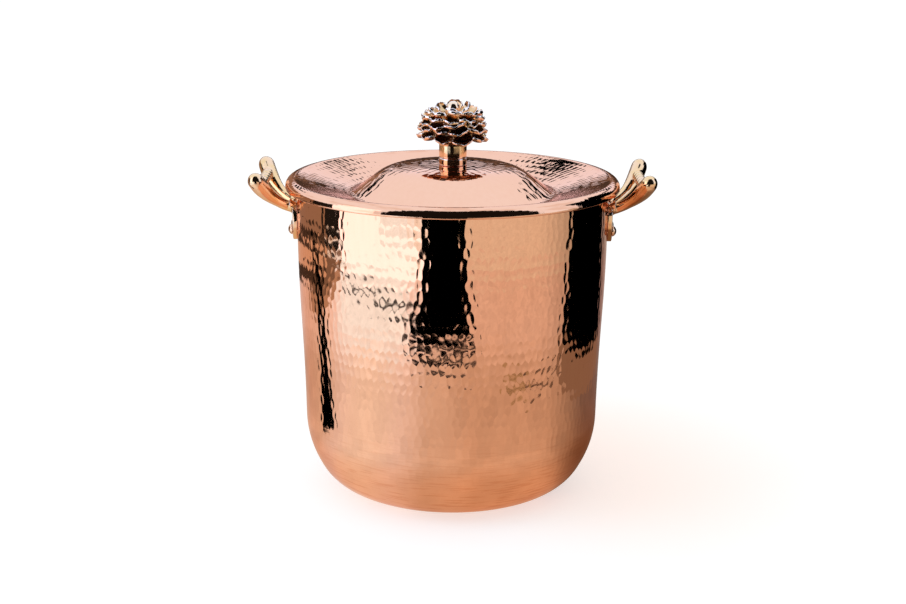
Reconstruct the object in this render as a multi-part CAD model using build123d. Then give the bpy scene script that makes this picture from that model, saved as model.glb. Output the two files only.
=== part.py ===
from build123d import *
import math
import os

os.makedirs("parts", exist_ok=True)

# Hammered copper stockpot with a lift-off lid, in millimetres.
# Origin: centre of the flat base. +Z up, +X towards the right handle, -Y towards the front.

# Vessel: corners of the outside line from the rim to the flat base, and the sheet
rim_height = 280.0
rim_radius = 136.6
shoulder_radius = 136.0
shoulder_height = 203.0
waist_radius = 131.3
waist_height = 112.0
heel_radius = 130.0
heel_height = 49.0
ankle_radius = 110.4
ankle_height = 12.1
base_radius = 77.0
bend_share = 0.49
vessel_sheet = 2.2
tin_coat = 0.4

# Handles: shield plate on the wall, two club-shaped arms, one grip bar
plate_width = 47.0
plate_height = 37.0
plate_thickness = 4.2
plate_drop = 19.5
plate_shoulder_height = 19.0
plate_top_round = 7.0
plate_shoulder_round = 12.0
plate_tip_round = 9.0
arm_root_spread = 13.0
arm_root_height = 33.5
arm_reach = 31.1
arm_rise = 27.8
arm_root_radius = 4.9
arm_waist_radius = 4.4
arm_waist_share = 0.4
knuckle_spread = 41.4
knuckle_radius = 7.0
knuckle_neck = 62.0
grip_radius = 5.0
bead_radius = 5.5
bead_width = 4.4
bead_round = 1.6
bead_count = 11

# Rivets: two through each plate
rivet_spacing = 26.0
rivet_height = 14.6
rivet_shank_radius = 2.6
rivet_head_radius = 4.9
rivet_head_height = 3.6
rivet_tail_radius = 4.4
rivet_tail_height = 1.0
rivet_fit = 0.05

# Lid: brim turned over the rim, slope, valley and dome
lid_overhang = 9.6
lid_sheet = 1.6
lid_seat_gap = 0.3
brim_bend = 7.4
brim_skirt = 0.4
brim_slant = 16.3
valley_radius = 88.5
valley_bend = 8.0
dome_radius = 66.0
dome_height = 21.7
dome_bend = 40.0
crown_radius = 26.0
crown_rise = 3.0
crown_bend = 220.0

# Finial: collar, stem and flower head, held by a screw from below
collar_radius = 12.1
collar_height = 6.4
collar_edge = 0.5
stem_radius = 12.1
stem_height = 12.0
stem_edge = 0.6
flower_radius = 29.5
flower_rise = 25.0
flower_middle = 13.5
core_share = 0.68
tier_count = 6
lowest_tier = -30.0
highest_tier = 66.0
lowest_tilt = -22.0
highest_tilt = 62.0
petal_count = 13
petal_overlap = 1.06
petal_thickness = 1.8
petal_length = 15.0
bud_radius = 8.0
screw_radius = 3.0
screw_reach = 12.0
screw_head_radius = 5.5
screw_head_height = 3.0
screw_slot_width = 1.2
screw_slot_depth = 1.3
screw_fit = 0.05
screw_tip_room = 1.5
washer_radius = 9.0
washer_thickness = 1.4


def parallel_corners(corners, distance):
    """Corners of the line that runs beside a bent line, a distance to its left."""
    sides = []
    for start, end in zip(corners, corners[1:]):
        run = math.dist(start, end)
        along = ((end[0] - start[0]) / run, (end[1] - start[1]) / run)
        point = (start[0] - along[1] * distance, start[1] + along[0] * distance)
        sides.append((point, along))
    moved = [sides[0][0]]
    for (point_a, along_a), (point_b, along_b) in zip(sides, sides[1:]):
        cross = along_a[0] * along_b[1] - along_a[1] * along_b[0]
        gap = (point_b[0] - point_a[0], point_b[1] - point_a[1])
        step = (gap[0] * along_b[1] - gap[1] * along_b[0]) / cross
        moved.append((point_a[0] + along_a[0] * step, point_a[1] + along_a[1] * step))
    last_along = sides[-1][1]
    last = corners[-1]
    moved.append((last[0] - last_along[1] * distance, last[1] + last_along[0] * distance))
    return moved


def turn_at(before, corner, after):
    """Signed turn of a bent line at a corner, in radians, positive to the left."""
    heading_in = math.atan2(corner[1] - before[1], corner[0] - before[0])
    heading_out = math.atan2(after[1] - corner[1], after[0] - corner[0])
    return (heading_out - heading_in + math.pi) % (2 * math.pi) - math.pi


def widest_bend(before, corner, after):
    """Largest bend radius that leaves half of each run beside a corner to its neighbours."""
    room = bend_share * min(math.dist(before, corner), math.dist(corner, after))
    return room / math.tan(abs(turn_at(before, corner, after)) / 2)


def parallel_bends(corners, bends, distance):
    """Bend radii of the parallel line: tighter inside a bend and wider outside it."""
    turns = [turn_at(*three) for three in zip(corners, corners[1:], corners[2:])]
    return [bend - math.copysign(1, turn) * distance for bend, turn in zip(bends, turns)]


def parallel_line(profile, distance):
    """Rounded line that runs a distance to the left of a profile, and its two ends."""
    corners, bends = profile
    moved = parallel_corners(corners, distance)
    line = FilletPolyline(*moved, radius=parallel_bends(corners, bends, distance))
    return line, moved[0], moved[-1]


def turned(outline):
    """Solid turned about the upright axis from an outline drawn as radius and height."""
    return revolve(Plane.XZ * outline, axis=Axis.Z, revolution_arc=360)


def sheet_between(profile, near, far):
    """Turned sheet between the lines that run beside a profile at two distances."""
    near_line, near_start, near_end = parallel_line(profile, near)
    far_line, far_start, far_end = parallel_line(profile, far)
    ends = [Line(near_start, far_start).edge(), Line(near_end, far_end).edge()]
    return turned(make_face(near_line.edges() + far_line.edges() + ends))


def filled_within(profile, distance):
    """Turned solid that fills a profile's parallel line up to the height of its first end."""
    line, start, end = parallel_line(profile, distance)
    top_middle = (0.0, start[1])
    closing = [Line(start, top_middle).edge(), Line(top_middle, end).edge()]
    return turned(make_face(line.edges() + closing))


def vessel_profile():
    """Outside line of the vessel, from the rim down to the middle of the base."""
    corners = [
        (rim_radius, rim_height),
        (shoulder_radius, shoulder_height),
        (waist_radius, waist_height),
        (heel_radius, heel_height),
        (ankle_radius, ankle_height),
        (base_radius, 0.0),
        (0.0, 0.0),
    ]
    bends = [widest_bend(*three) for three in zip(corners, corners[1:], corners[2:])]
    return corners, bends


def lid_profile():
    """Top line of the lid, from the brim's cut edge over the crest, valley and dome to the middle."""
    slope = math.tan(math.radians(brim_slant))
    lid_radius = rim_radius + lid_overhang
    seat_radius = rim_radius - vessel_sheet - tin_coat
    upright_thickness = (lid_sheet + tin_coat) / math.cos(math.radians(brim_slant))
    brim_top = rim_height + lid_seat_gap + upright_thickness + (lid_radius - seat_radius) * slope
    brim_run = brim_bend * math.tan(math.radians(90 + brim_slant) / 2)
    valley_level = brim_top - (lid_radius - valley_radius) * slope
    crown_level = valley_level + dome_height + crown_rise
    corners = [
        (lid_radius, brim_top - brim_run - brim_skirt),
        (lid_radius, brim_top),
        (valley_radius, valley_level),
        (dome_radius, valley_level + dome_height),
        (crown_radius, crown_level),
        (0.0, crown_level),
    ]
    wanted = [valley_bend, dome_bend, crown_bend]
    widest = [widest_bend(*three) for three in zip(corners[1:], corners[2:], corners[3:])]
    bends = [brim_bend] + [min(pair) for pair in zip(wanted, widest)]
    return corners, bends


vessel_line = vessel_profile()
lid_line = lid_profile()
lid_top = lid_line[0][-1][1]
dome_underside = lid_top - lid_sheet - tin_coat
plate_tip_level = rim_height - plate_drop - plate_height
rivet_level = plate_tip_level + rivet_height


def wall_radius(level):
    """Outside radius of the vessel at a level, on the run between the corners above and below it."""
    for upper, lower in zip(vessel_line[0], vessel_line[0][1:]):
        if level >= lower[1]:
            share = (level - lower[1]) / (upper[1] - lower[1])
            return lower[0] + share * (upper[0] - lower[0])


def standing_rod(radius, height):
    """Round rod that stands on the origin."""
    return Cylinder(radius, height, align=(Align.CENTER, Align.CENTER, Align.MIN))


def hanging_rod(radius, height):
    """Round rod that hangs below the origin."""
    return Cylinder(radius, height, align=(Align.CENTER, Align.CENTER, Align.MAX))


def dome_ball(radius, height):
    """Radius of the ball whose cap has a given radius and height."""
    return (radius ** 2 + height ** 2) / (2 * height)


def rivet_places():
    """Frames on the axis of the pot, looking out along each right-hand rivet, rear first."""
    outward = Location((0, 0, 0), (0, 90, 0))
    angle = math.degrees(math.asin(rivet_spacing / 2 / wall_radius(rivet_level)))
    return [Location((0, 0, rivet_level), (0, 0, turn)) * outward for turn in (angle, -angle)]


def rivet_bore(place):
    """Round bore from the middle of the pot out through lining, wall and plate."""
    return place * standing_rod(rivet_shank_radius + rivet_fit, 2 * rim_radius)


def rivet(place):
    """Round shank with a domed head on the plate and a low peened tail on the lining."""
    outside = filled_within(vessel_line, plate_thickness)
    inside = filled_within(vessel_line, -vessel_sheet - tin_coat)
    plate_face = wall_radius(rivet_level) + plate_thickness
    lining_face = wall_radius(rivet_level) - vessel_sheet - tin_coat
    head_middle = plate_face + rivet_head_height - dome_ball(rivet_head_radius, rivet_head_height)
    tail_middle = lining_face - rivet_tail_height + dome_ball(rivet_tail_radius, rivet_tail_height)
    head = Pos(0, 0, head_middle) * Sphere(dome_ball(rivet_head_radius, rivet_head_height))
    tail = Pos(0, 0, tail_middle) * Sphere(dome_ball(rivet_tail_radius, rivet_tail_height))
    head &= Pos(0, 0, plate_face) * Cylinder(rivet_head_radius, 2 * rivet_head_height)
    tail &= Pos(0, 0, lining_face) * Cylinder(rivet_tail_radius, 2 * rivet_tail_height)
    start = lining_face - rivet_tail_height / 2
    end = plate_face + rivet_head_height / 2
    shank = Pos(0, 0, start) * standing_rod(rivet_shank_radius, end - start)
    return (place * head - outside) + place * shank + (place * tail & inside)


def mirrored(shape):
    """The same shape on the left side of the pot."""
    return mirror(shape, about=Plane.YZ)


def wall_plate():
    """Shield-shaped plate that follows the wall, with a rounded tip at the bottom."""
    half = plate_width / 2
    rounds = [plate_top_round, plate_top_round, plate_shoulder_round, plate_tip_round, plate_shoulder_round]
    outline = FilletPolyline(
        (half, plate_height),
        (-half, plate_height),
        (-half, plate_shoulder_height),
        (0, 0),
        (half, plate_shoulder_height),
        radius=rounds,
        close=True,
    )
    standing = Plane(origin=(0, 0, plate_tip_level), x_dir=(0, 1, 0), z_dir=(1, 0, 0))
    blank = standing * extrude(make_face(outline.edges()), amount=2 * rim_radius)
    return blank & sheet_between(vessel_line, plate_thickness, 0)


def arm_ends(side):
    """Root of an arm in the plate and the middle of its knuckle, on the rear or front side."""
    root_level = plate_tip_level + arm_root_height
    wall = wall_radius(root_level)
    root = Vector(wall + plate_thickness / 2, side * arm_root_spread, root_level)
    knuckle = Vector(wall + arm_reach, side * knuckle_spread, root_level + arm_rise)
    return root, knuckle


def arm(side):
    """Club-shaped arm: slim at the plate, swelling into a round knuckle."""
    root, knuckle = arm_ends(side)
    length = (knuckle - root).length
    neck_angle = math.radians(knuckle_neck)
    neck = (knuckle_radius * math.sin(neck_angle), length - knuckle_radius * math.cos(neck_angle))
    swell = Spline(
        (arm_root_radius, 0),
        (arm_waist_radius, length * arm_waist_share),
        neck,
        tangents=[(0, 1), (math.cos(neck_angle), math.sin(neck_angle))],
    )
    ball_side = (knuckle_radius, length)
    ball_top = (0, length + knuckle_radius)
    ball = ThreePointArc(neck, ball_side, ball_top)
    foot = Line((0, 0), (arm_root_radius, 0))
    middle = Line(ball_top, (0, 0))
    outline = make_face([foot.edge(), swell.edge(), ball.edge(), middle.edge()])
    return Plane(origin=root, z_dir=knuckle - root) * turned(outline)


def grip():
    """Bar between the two knuckles with low turned beads along it."""
    _, knuckle = arm_ends(1)
    bar = Cylinder(grip_radius, 2 * knuckle_spread)
    bead_pitch = 2 * (knuckle_spread - knuckle_radius) / bead_count
    bead = fillet(Cylinder(bead_radius, bead_width).edges().filter_by(GeomType.CIRCLE), bead_round)
    for index in range(bead_count):
        bar += Pos(0, 0, (index - (bead_count - 1) / 2) * bead_pitch) * bead
    return Location((knuckle.X, 0, knuckle.Z), (90, 0, 0)) * bar


def handle():
    """Right handle, one casting, bored for its rivets and resting on the wall."""
    body = wall_plate() + arm(1) + arm(-1) + grip()
    body -= filled_within(vessel_line, 0)
    return body - [rivet_bore(place) for place in rivet_places()]


def pierced(sheet):
    """A layer of the vessel with the four rivet bores through it."""
    bores = [rivet_bore(place) for place in rivet_places()]
    return sheet - bores - [mirrored(bore) for bore in bores]


def screw_bore(bottom, top):
    """Upright bore for the finial's screw between two levels."""
    return Pos(0, 0, bottom) * standing_rod(screw_radius + screw_fit, top - bottom)


def collar():
    """Short round seat on the dome, with eased edges and a bore for the screw."""
    body = standing_rod(collar_radius, collar_height)
    body = chamfer(body.edges().filter_by(GeomType.CIRCLE), collar_edge)
    return Pos(0, 0, lid_top) * body - screw_bore(lid_top, lid_top + collar_height)


def petal_ring(index):
    """One ring of petals: a scalloped dish, drooping at the bottom of the head and upright at its top."""
    share = index / (tier_count - 1)
    climb = math.radians(lowest_tier + share * (highest_tier - lowest_tier))
    tilt = math.radians(lowest_tilt + share * (highest_tilt - lowest_tilt))
    reach = flower_radius * math.cos(climb)
    tip_level = flower_rise * math.sin(climb)
    count = max(5, round(petal_count * math.cos(climb)))
    half_share = math.sin(math.pi / count)
    lobe = petal_overlap * reach * half_share / (1 + half_share)
    plan = Circle(reach - lobe)
    for petal in range(count):
        bearing = 360 / count * (petal + index % 2 / 2)
        plan += Rot(0, 0, bearing) * Pos(reach - lobe, 0) * Circle(lobe)
    along = (math.cos(tilt), math.sin(tilt))
    across = (-along[1] * petal_thickness, along[0] * petal_thickness)
    root = (reach - along[0] * petal_length, tip_level - along[1] * petal_length)
    tip = (reach + along[0] * petal_thickness, tip_level + along[1] * petal_thickness)
    strip = Polyline(
        (max(root[0], 0.5), root[1]),
        tip,
        (tip[0] + across[0], tip[1] + across[1]),
        (max(root[0] + across[0], 0.5), root[1] + across[1]),
        close=True,
    )
    dish = turned(make_face(strip.edges()))
    column = Pos(0, 0, -2 * flower_radius) * extrude(plan, amount=4 * flower_radius)
    return dish & column


def flower():
    """Knob casting: round stem, core, rings of petals and a closed bud, bored for the screw."""
    stem_base = lid_top + collar_height
    middle = stem_base + stem_height + flower_middle
    stem = standing_rod(stem_radius, stem_height + flower_middle)
    stem = chamfer(stem.edges().filter_by(GeomType.CIRCLE).sort_by(Axis.Z)[0], stem_edge)
    core_radius = core_share * flower_radius
    core_rise = core_share * flower_rise
    right_half = Pos(core_radius / 2, 0) * Rectangle(core_radius, 2 * core_rise)
    head = turned(Ellipse(core_radius, core_rise) & right_half)
    for index in range(tier_count):
        head += petal_ring(index)
    head += Pos(0, 0, flower_rise - bud_radius) * Sphere(bud_radius)
    body = Pos(0, 0, stem_base) * stem + Pos(0, 0, middle) * head
    return body - screw_bore(stem_base, stem_base + screw_reach + screw_tip_room)


def washer():
    """Flat washer against the underside of the dome."""
    ring = Pos(0, 0, dome_underside) * hanging_rod(washer_radius, washer_thickness)
    return ring - screw_bore(dome_underside - washer_thickness, dome_underside)


def screw():
    """Slotted round-head screw from under the washer up into the stem."""
    seat = dome_underside - washer_thickness
    end = lid_top + collar_height + screw_reach
    shank = Pos(0, 0, seat) * standing_rod(screw_radius, end - seat)
    ball = dome_ball(screw_head_radius, screw_head_height)
    head = Pos(0, 0, seat - screw_head_height + ball) * Sphere(ball)
    head &= Pos(0, 0, seat) * hanging_rod(screw_head_radius, screw_head_height)
    slot = Box(2 * screw_head_radius, screw_slot_width, 2 * screw_slot_depth)
    return shank + head - Pos(0, 0, seat - screw_head_height) * slot


lid_bore = screw_bore(dome_underside - collar_height, lid_top + collar_height)
right_handle = handle()
rear_rivet, front_rivet = [rivet(place) for place in rivet_places()]

nodes = {
    "pot_vessel": pierced(sheet_between(vessel_line, 0, -vessel_sheet)),
    "pot_lining": pierced(sheet_between(vessel_line, -vessel_sheet, -vessel_sheet - tin_coat)),
    "right_handle": right_handle,
    "left_handle": mirrored(right_handle),
    "right_rear_rivet": rear_rivet,
    "right_front_rivet": front_rivet,
    "left_rear_rivet": mirrored(rear_rivet),
    "left_front_rivet": mirrored(front_rivet),
    "lid_shell": sheet_between(lid_line, 0, lid_sheet) - lid_bore,
    "lid_lining": sheet_between(lid_line, lid_sheet, lid_sheet + tin_coat) - lid_bore,
    "finial_collar": collar(),
    "finial_flower": flower(),
    "finial_washer": washer(),
    "finial_screw": screw(),
}

for name, shape in nodes.items():
    export_step(shape, f"parts/{name}.step")
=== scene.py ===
import bmesh
import bpy
import math
from mathutils import Matrix, Vector


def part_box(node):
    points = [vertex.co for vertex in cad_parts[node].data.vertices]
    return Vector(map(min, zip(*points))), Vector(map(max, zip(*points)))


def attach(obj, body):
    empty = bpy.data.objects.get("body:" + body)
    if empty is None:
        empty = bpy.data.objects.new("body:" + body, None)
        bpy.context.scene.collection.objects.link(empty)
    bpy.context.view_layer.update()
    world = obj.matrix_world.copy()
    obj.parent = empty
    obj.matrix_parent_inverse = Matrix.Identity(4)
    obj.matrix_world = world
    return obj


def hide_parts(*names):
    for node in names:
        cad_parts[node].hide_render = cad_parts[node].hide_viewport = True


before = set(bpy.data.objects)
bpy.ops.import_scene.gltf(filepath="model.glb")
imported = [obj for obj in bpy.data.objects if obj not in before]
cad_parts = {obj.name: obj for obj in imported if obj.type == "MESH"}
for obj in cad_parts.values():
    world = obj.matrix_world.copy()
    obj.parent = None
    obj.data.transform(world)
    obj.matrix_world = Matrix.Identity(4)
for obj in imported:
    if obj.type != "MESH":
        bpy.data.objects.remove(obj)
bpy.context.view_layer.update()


# Pot vessel
# One disc of copper sheet, raised into a tapered wall with a wide round corner and a flat base, then
# smoothed with a polished hammer. Each stroke leaves a shallow mark, in level rows from the rim down, and
# fainter towards the corner.
rim_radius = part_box("pot_vessel")[1].x
rim_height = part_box("pot_vessel")[1].z
vessel_sheet = 0.0022
vessel_corners = [
    (rim_radius, rim_height),
    (0.1360, 0.2030),
    (0.1313, 0.1120),
    (0.1300, 0.0490),
    (0.1104, 0.0121),
    (0.0770, 0.0),
    (0.0, 0.0),
]
bend_share = 0.49
edge_round = 0.0004
mark_width = 0.00596
mark_height = 0.0090
mark_depth = 0.00006
mark_bite = 0.00006
mark_lean = 2.0
side_fall = 4.0
end_fall = 2.2
fewest_marks = 6
mark_drift = 0.7
mark_wander = 75.0
row_slip = 0.17
row_slip_turn = 2.4
weakest_stroke = 0.7
stroke_range = 0.6
sheet_waves = 22.0
vessel_swell = 0.00012
deep_end = 0.140
wall_end = 0.236
corner_end = 0.318
vessel_strokes = [(deep_end, 1.0), (wall_end, 0.45), (corner_end, 0.0)]
wall_step = mark_height / 4.6
corner_step = mark_height / 3
base_step = 0.020
step_slack = 0.01
seam_gap = 0.000005


class Wire:
    """A value on its way between the nodes of a tree. Sums written with it add the tree's maths nodes."""

    def __init__(self, tree, socket=None):
        self.tree = tree
        self.socket = socket

    def node(self, kind, settings=None, values=None, output=0):
        """Adds a node: settings first, then a value or wire for each socket. Returns one of its outputs."""
        node = self.tree.nodes.new(kind)
        for name, setting in (settings or {}).items():
            if name == "stops":
                self.set_stops(node.color_ramp, setting)
            else:
                setattr(node, name, setting)
        for key, value in (values or {}).items():
            if isinstance(value, Wire):
                self.tree.links.new(value.socket, node.inputs[key])
            else:
                node.inputs[key].default_value = value
        return Wire(self.tree, node.outputs[output])

    def set_stops(self, ramp, stops):
        while len(ramp.elements) < len(stops):
            ramp.elements.new(1.0)
        for element, (place, colour) in zip(ramp.elements, stops):
            element.position = place
            element.color = colour

    def other(self, output):
        """Another output of the node that this wire comes from."""
        return Wire(self.tree, self.socket.node.outputs[output])

    def maths(self, operation, *values):
        return self.node("ShaderNodeMath", {"operation": operation}, dict(enumerate((self, *values))))

    def parts(self):
        """The three parts of this place or colour."""
        split = self.node("ShaderNodeSeparateXYZ", None, {0: self})
        return split, split.other(1), split.other(2)

    def ramp(self, *stops):
        """Colour or grey picked from a ramp by this value."""
        return self.node("ShaderNodeValToRGB", {"stops": stops}, {0: self})

    def blend(self, kind, share, low, high):
        """Blend of two colours, which are a mix node's sockets 6 and 7. Its output 2 is the colour."""
        settings = {"data_type": "RGBA", "blend_type": kind}
        return self.node("ShaderNodeMix", settings, {0: share, 6: low, 7: high}, 2)

    def mixed(self, low, high):
        """Colour between two others, at this share."""
        return self.blend("MIX", self, low, high)

    def tinted(self, colour):
        """This colour multiplied by another."""
        return self.blend("MULTIPLY", 1.0, self, colour)

    def between(self, start, end):
        """Soft step: 0 at the start and before it, 1 at the end and past it."""
        limits = {"Value": self, "From Min": start, "From Max": end}
        return self.node("ShaderNodeMapRange", {"interpolation_type": "SMOOTHSTEP"}, limits)

    def __add__(self, other):
        return self.maths("ADD", other)

    def __sub__(self, other):
        return self.maths("SUBTRACT", other)

    def __rsub__(self, other):
        return self.node("ShaderNodeMath", {"operation": "SUBTRACT"}, {0: other, 1: self})

    def __mul__(self, other):
        return self.maths("MULTIPLY", other)

    def __truediv__(self, other):
        return self.maths("DIVIDE", other)

    def __pow__(self, other):
        return self.maths("POWER", other)

    __radd__ = __add__
    __rmul__ = __mul__


def point(across, along, up=0.0):
    """Wire of a place from wires or values of its three parts."""
    return across.node("ShaderNodeCombineXYZ", None, {0: across, 1: along, 2: up})


def widest_bends(corners):
    """Bend radii that leave each neighbour about half of the run between two corners."""
    bends = []
    for before, corner, after in zip(corners, corners[1:], corners[2:]):
        room = bend_share * min(math.dist(before, corner), math.dist(corner, after))
        bends.append(room / math.tan(abs(turn_at(before, corner, after)) / 2))
    return bends


def turn_at(before, corner, after):
    """Turn of a bent line at a corner, in radians, positive to the left."""
    heading_in = math.atan2(corner[1] - before[1], corner[0] - before[0])
    heading_out = math.atan2(after[1] - corner[1], after[0] - corner[0])
    return (heading_out - heading_in + math.pi) % (2 * math.pi) - math.pi


def bent_line(corners, bends):
    """Runs of a line with rounded corners, straight and round in turn: start, heading, length, curvature."""
    turns = [turn_at(*three) for three in zip(corners, corners[1:], corners[2:])]
    reaches = [0.0] + [bend * math.tan(abs(turn) / 2) for bend, turn in zip(bends, turns)] + [0.0]
    runs = []
    for index, (start, end) in enumerate(zip(corners, corners[1:])):
        heading = math.atan2(end[1] - start[1], end[0] - start[0])
        along = Vector((math.cos(heading), math.sin(heading)))
        straight = math.dist(start, end) - reaches[index] - reaches[index + 1]
        runs.append((Vector(start) + along * reaches[index], heading, straight, 0.0))
        if index < len(turns):
            curvature = math.copysign(1 / bends[index], turns[index])
            arc_start = Vector(end) - along * reaches[index + 1]
            runs.append((arc_start, heading, bends[index] * abs(turns[index]), curvature))
    return runs


def line_length(runs):
    return sum(run[2] for run in runs)


def station(runs, distance, offset):
    """Point at a distance along a bent line and an offset to its left, and the direction to its left."""
    for start, heading, length, curvature in runs:
        if distance <= length:
            break
        distance -= length
    distance = min(distance, length)
    turned = heading + curvature * distance
    if curvature:
        across = math.sin(turned) - math.sin(heading)
        up = math.cos(heading) - math.cos(turned)
        chord = Vector((across, up)) / curvature
    else:
        chord = Vector((math.cos(heading), math.sin(heading))) * distance
    left = Vector((-math.sin(turned), math.cos(turned)))
    return start + chord + left * offset, left


def steps(start, *legs):
    """Distances from a start over legs, each given by its end and its largest step."""
    places = [start]
    for end, step in legs:
        count = math.ceil((end - places[-1]) / step - step_slack)
        origin = places[-1]
        places += [origin + (end - origin) * (index + 1) / count for index in range(count)]
    return places


def marks_in_row(runs, offset, rows, parity):
    """How many marks the nearest even row (parity 0) or odd row (parity 1) has around."""
    row = 2 * round((rows - parity) / 2) + parity
    middle, _ = station(runs, min(max(row * mark_height, 0.0), line_length(runs)), offset)
    return max(fewest_marks, round(math.tau * middle.x / mark_width))


def stroke_depth(strokes, distance):
    """Depth of the marks at a distance along a line, between stops that give a distance and a depth each."""
    depth = strokes[0][1]
    for (start, before), (end, after) in zip(strokes, strokes[1:]):
        if distance > start:
            depth = before + (after - before) * min(1.0, (distance - start) / (end - start))
    return depth


def section(name, runs, faces, shown_steps, hidden_steps, strokes, closed=False):
    """Cross-section of a turned sheet, as a line of vertices that carry their place in the rows of marks."""
    shown_offset, hidden_offset = faces
    side = math.copysign(1, shown_offset - hidden_offset)
    eased = min(edge_round, abs(shown_offset - hidden_offset) / 4) * side
    points = []
    for distance in reversed(hidden_steps):
        place, left = station(runs, distance, hidden_offset)
        points.append((place, left * -side, 0.0, 0.0))
    for offset in (hidden_offset + eased, shown_offset - eased):
        place, left = station(runs, 0.0, offset)
        points.append((place, left * side, 0.0, 0.0))
    for distance in shown_steps:
        place, left = station(runs, distance, shown_offset)
        points.append((place, left * side, distance, stroke_depth(strokes, distance)))
    if closed:
        points.append(points[0])
    if side > 0:
        points.reverse()
    mesh = bpy.data.meshes.new(name)
    mesh.from_pydata([(max(place.x, 0.0), 0.0, place.y) for place, *_ in points], [], [])
    columns = {"outward": [], "marks": [], "struck": []}
    for place, outward, distance, strength in points:
        rows = distance / mark_height
        counts = [marks_in_row(runs, shown_offset, rows, parity) for parity in (0, 1)]
        columns["outward"].append((outward.x, 0.0, outward.y))
        columns["marks"].append((rows, *counts))
        columns["struck"].append((strength, 0.0, 0.0))
    for column, values in columns.items():
        attribute = mesh.attributes.new(column, "FLOAT_VECTOR", "POINT")
        attribute.data.foreach_set("vector", [number for value in values for number in value])
    return new_piece(name, mesh)


def new_piece(name, mesh):
    piece = bpy.data.objects.new(name, mesh)
    bpy.context.scene.collection.objects.link(piece)
    return piece


def new_tree(name, inputs):
    """Geometry tree with named inputs. Returns a wire of it and its input wires by name."""
    tree = bpy.data.node_groups.new(name, "GeometryNodeTree")
    tree.interface.new_socket(name="Geometry", in_out="INPUT", socket_type="NodeSocketGeometry")
    tree.interface.new_socket(name="Geometry", in_out="OUTPUT", socket_type="NodeSocketGeometry")
    for label, kind in inputs.items():
        tree.interface.new_socket(name=label, in_out="INPUT", socket_type=f"NodeSocket{kind}")
    start = Wire(tree).node("NodeGroupInput")
    return start, {label: start.other(label) for label in inputs}


def close_tree(geometry, material):
    """Ends a tree: instances made real, and the material set."""
    real = geometry.node("GeometryNodeRealizeInstances", None, {0: geometry})
    dressed = real.node("GeometryNodeSetMaterial", None, {"Geometry": real, "Material": material})
    dressed.tree.links.new(dressed.socket, dressed.tree.nodes.new("NodeGroupOutput").inputs[0])


def run_tree(piece, tree, values):
    """Runs a geometry tree on a piece with its inputs set, and keeps the result as its plain mesh."""
    modifier = piece.modifiers.new(tree.name, "NODES")
    modifier.node_group = tree
    for item in tree.interface.items_tree:
        if item.in_out == "INPUT" and item.name in values:
            modifier[item.identifier] = values[item.name]
    settle(piece)


def settle(piece):
    """Keeps what a piece's modifiers make as its plain mesh."""
    bpy.context.view_layer.update()
    view = bpy.context.evaluated_depsgraph_get()
    mesh = bpy.data.meshes.new_from_object(piece.evaluated_get(view), depsgraph=view)
    piece.modifiers.clear()
    piece.data = mesh


def noise(place, scale, detail=2.0, output=0):
    """Cloudy pattern over a place, from 0 to 1 with a middle of about a half."""
    values = {"Vector": place, "Scale": scale, "Detail": detail}
    return place.node("ShaderNodeTexNoise", None, values, output)


def hammer_marks(place, turn, rows, counts):
    """Depth of the marks, 1 in the middle of one and 0 at its ridge. Each leans and bites its own way."""
    drift_x, drift_y, _ = noise(place, mark_wander, 1.0, "Color").parts()

    def stroke(parity, count):
        off = (rows + parity).maths("WRAP", 1.0, -1.0)
        row = (rows - off).maths("ROUND")
        slip = (row * row_slip_turn).maths("SINE") * row_slip
        around = turn * count + row * 0.5 + slip + (drift_x - 0.5) * mark_drift
        beside = around.maths("WRAP", 0.5, -0.5)
        above = off + (drift_y - 0.5) * mark_drift
        number = (around - beside).maths("WRAP", count, 0.0).maths("ROUND")
        own = point(number, row)
        chance = own.node("ShaderNodeTexWhiteNoise", {"noise_dimensions": "2D"}, {"Vector": own}, "Color")
        lean_x, lean_y, bite = chance.parts()
        bowl = (1 - beside * beside * side_fall - above * above * end_fall).maths("MAXIMUM", 0.0)
        lean = ((lean_x - 0.5) * beside + (lean_y - 0.5) * above) * mark_lean
        return bowl * (weakest_stroke + bite * stroke_range + lean)

    return stroke(0, counts[0]).maths("MAXIMUM", stroke(1, counts[1]))


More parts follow.
